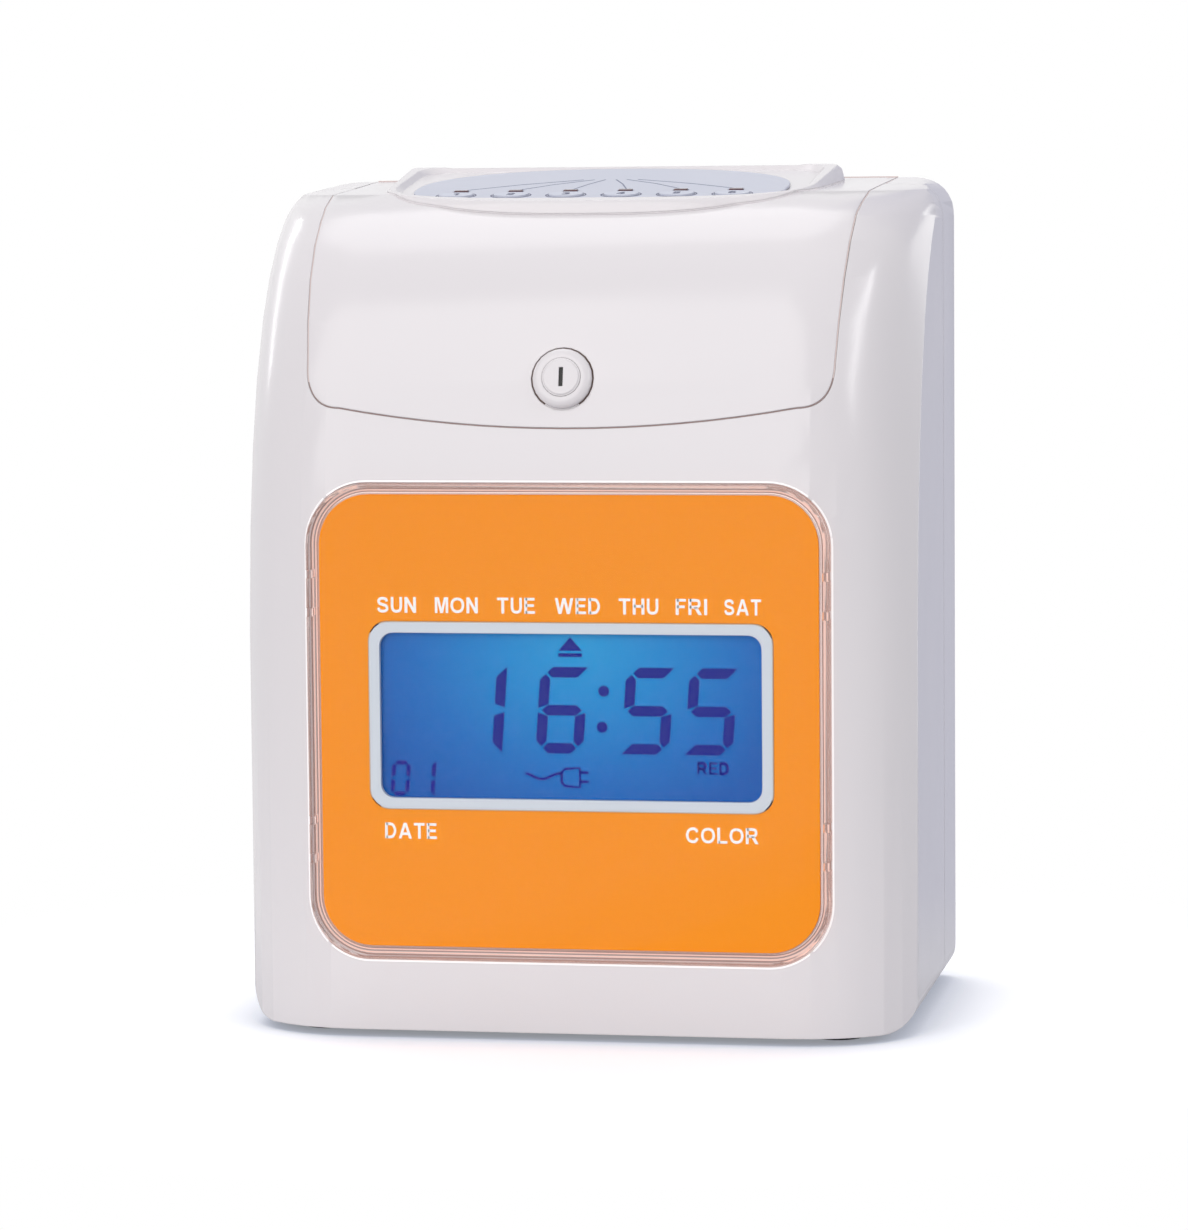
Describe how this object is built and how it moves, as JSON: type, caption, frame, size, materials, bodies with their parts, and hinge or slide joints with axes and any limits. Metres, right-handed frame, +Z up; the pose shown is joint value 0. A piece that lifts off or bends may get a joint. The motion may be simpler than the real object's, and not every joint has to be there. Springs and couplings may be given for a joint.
{
  "type": "time clock",
  "caption": "Desktop or wall punch-card time clock: curved two-part case, lockable flip lid with card slot, backlit display window, and the printing and card-feed mechanism inside.",
  "frame": {"origin": "on the standing surface, under the middle of the case's bounding box", "axes": "+X to the right as seen by the user, -Y towards the user (the front), +Z up"},
  "size_m": [0.178, 0.118, 0.2268],
  "materials": {
    "case_plastic": "moulded ABS with a fine satin gloss",
    "window_plastic": "clear polished acrylic",
    "panel_orange": "screen-printed film, satin",
    "bezel_silver": "silver-grey paint, satin",
    "display_glass": "blue negative liquid-crystal cell",
    "diffuser": "milky light-guide plastic",
    "label_film": "printed polycarbonate film, fine matt",
    "key_plastic": "soft-touch moulded plastic",
    "lamp_plastic": "clear red moulded plastic, polished",
    "lock_enamel": "off-white enamel on a turned ring",
    "plug_enamel": "off-white enamel on a turned plug",
    "steel": "zinc-plated sheet, slightly dull",
    "rod_steel": "ground and polished rod",
    "motor_steel": "plated motor can",
    "core_steel": "varnished iron core and taped coil",
    "circuit_board": "solder-masked glass fibre board",
    "black_plastic": "moulded plastic, fine grain",
    "gear_plastic": "natural acetal, slightly waxy",
    "rubber": "moulded rubber, dull",
    "roller_rubber": "ground rubber on a shaft",
    "belt_rubber": "reinforced rubber belt",
    "ribbon_fabric": "inked woven nylon",
    "cell_sleeve": "shrink sleeve"
  },
  "bodies": {
    "housing": {"front_shell": "case_plastic", "rear_housing": "case_plastic", "lid_hinge_rod": "steel", "foot_1": "rubber", "foot_2": "rubber", "foot_3": "rubber", "foot_4": "rubber", "window_cover": "window_plastic", "display_panel": "panel_orange", "display_bezel": "bezel_silver", "display_glass": "display_glass", "display_backlight": "diffuser", "display_board": "circuit_board", "setting_board": "circuit_board", "chassis_base": "steel", "side_plate_left": "steel", "side_plate_right": "steel", "chute_front": "steel", "chute_back": "steel", "platen": "black_plastic", "guide_rod_lower": "rod_steel", "guide_rod_upper": "rod_steel", "ribbon_tray": "steel", "ribbon_cassette": "black_plastic", "ink_ribbon": "ribbon_fabric", "cross_plate": "steel", "carriage_belt": "belt_rubber", "carriage_motor": "motor_steel", "feed_motor": "motor_steel", "main_board": "circuit_board", "transformer": "core_steel", "battery_pack": "cell_sleeve", "mains_inlet": "black_plastic"},
    "lid": {"flip_lid": "case_plastic", "card_collar": "case_plastic", "label_plate": "label_film", "light_guide": "lamp_plastic", "key_board": "circuit_board", "lock_bezel": "lock_enamel", "lock_nut": "steel"},
    "lock": {"lock_cylinder": "plug_enamel", "lock_cam": "steel"},
    "carriage": {"print_carriage": "black_plastic", "print_head": "steel"},
    "motor_pulley": {"motor_pulley": "gear_plastic"},
    "idler_pulley": {"idler_pulley": "gear_plastic"},
    "feed_roller": {"feed_roller": "roller_rubber", "feed_gear": "gear_plastic"},
    "pinion": {"motor_pinion": "gear_plastic"},
    "pinch_roller": {"pinch_roller": "gear_plastic"},
    "ribbon_knob": {"ribbon_knob": "gear_plastic"},
    "set_left": {"set_button_left": "black_plastic"},
    "set_right": {"set_button_right": "black_plastic"},
    "select_key_1": {"select_key_1": "key_plastic"},
    "select_key_2": {"select_key_2": "key_plastic"},
    "select_key_3": {"select_key_3": "key_plastic"},
    "select_key_4": {"select_key_4": "key_plastic"},
    "select_key_5": {"select_key_5": "key_plastic"},
    "select_key_6": {"select_key_6": "key_plastic"}
  },
  "joints": [
    {"name": "lid_hinge", "type": "hinge", "parent": "housing", "child": "lid", "pos_m": [0, 0.0557, 0.2197], "axis": [-1, 0, 0], "range_deg": [0, 78]},
    {"name": "lock_turn", "type": "hinge", "parent": "lid", "child": "lock", "pos_m": [-0.001, -0.0534, 0.1722], "axis": [0, 0.9703, -0.2419], "range_deg": [0, 90]},
    {"name": "key_1", "type": "slide", "parent": "lid", "child": "select_key_1", "axis": [0, 0.1461, -0.9893], "range_m": [0, 0.0006], "stiffness_N_per_m": 200, "springref_m": -0.0005},
    {"name": "key_2", "type": "slide", "parent": "lid", "child": "select_key_2", "axis": [0, 0.1461, -0.9893], "range_m": [0, 0.0006], "stiffness_N_per_m": 200, "springref_m": -0.0005},
    {"name": "key_3", "type": "slide", "parent": "lid", "child": "select_key_3", "axis": [0, 0.1461, -0.9893], "range_m": [0, 0.0006], "stiffness_N_per_m": 200, "springref_m": -0.0005},
    {"name": "key_4", "type": "slide", "parent": "lid", "child": "select_key_4", "axis": [0, 0.1461, -0.9893], "range_m": [0, 0.0006], "stiffness_N_per_m": 200, "springref_m": -0.0005},
    {"name": "key_5", "type": "slide", "parent": "lid", "child": "select_key_5", "axis": [0, 0.1461, -0.9893], "range_m": [0, 0.0006], "stiffness_N_per_m": 200, "springref_m": -0.0005},
    {"name": "key_6", "type": "slide", "parent": "lid", "child": "select_key_6", "axis": [0, 0.1461, -0.9893], "range_m": [0, 0.0006], "stiffness_N_per_m": 200, "springref_m": -0.0005},
    {"name": "set_left_press", "type": "slide", "parent": "housing", "child": "set_left", "axis": [0, 0, -1], "range_m": [0, 0.0004], "stiffness_N_per_m": 200, "springref_m": -0.0005},
    {"name": "set_right_press", "type": "slide", "parent": "housing", "child": "set_right", "axis": [0, 0, -1], "range_m": [0, 0.0004], "stiffness_N_per_m": 200, "springref_m": -0.0005},
    {"name": "carriage_slide", "type": "slide", "parent": "housing", "child": "carriage", "axis": [1, 0, 0], "range_m": [-0.032, 0.032]},
    {"name": "motor_pulley_spin", "type": "hinge", "parent": "housing", "child": "motor_pulley", "pos_m": [-0.056, 0.001, 0.148], "axis": [0, 1, 0], "range_deg": [-280, 280]},
    {"name": "idler_pulley_spin", "type": "hinge", "parent": "housing", "child": "idler_pulley", "pos_m": [0.056, 0.001, 0.148], "axis": [0, 1, 0], "range_deg": [-280, 280]},
    {"name": "feed_spin", "type": "hinge", "parent": "housing", "child": "feed_roller", "pos_m": [0, 0.03635, 0.08], "axis": [1, 0, 0], "continuous": true},
    {"name": "pinion_spin", "type": "hinge", "parent": "housing", "child": "pinion", "pos_m": [0, 0.014, 0.08], "axis": [1, 0, 0], "continuous": true},
    {"name": "pinch_spin", "type": "hinge", "parent": "housing", "child": "pinch_roller", "pos_m": [0, 0.04815, 0.08], "axis": [1, 0, 0], "continuous": true},
    {"name": "ribbon_knob_turn", "type": "hinge", "parent": "housing", "child": "ribbon_knob", "pos_m": [0.032, 0.015, 0.19], "axis": [0, 0, 1], "continuous": true}
  ],
  "couplings": [
    {"joint": "motor_pulley_spin", "follows": "carriage_slide", "rad_per_m": -151.51},
    {"joint": "idler_pulley_spin", "follows": "carriage_slide", "rad_per_m": -151.51},
    {"joint": "pinion_spin", "follows": "feed_spin", "ratio": -2.6667},
    {"joint": "pinch_spin", "follows": "feed_spin", "ratio": -1.3}
  ]
}
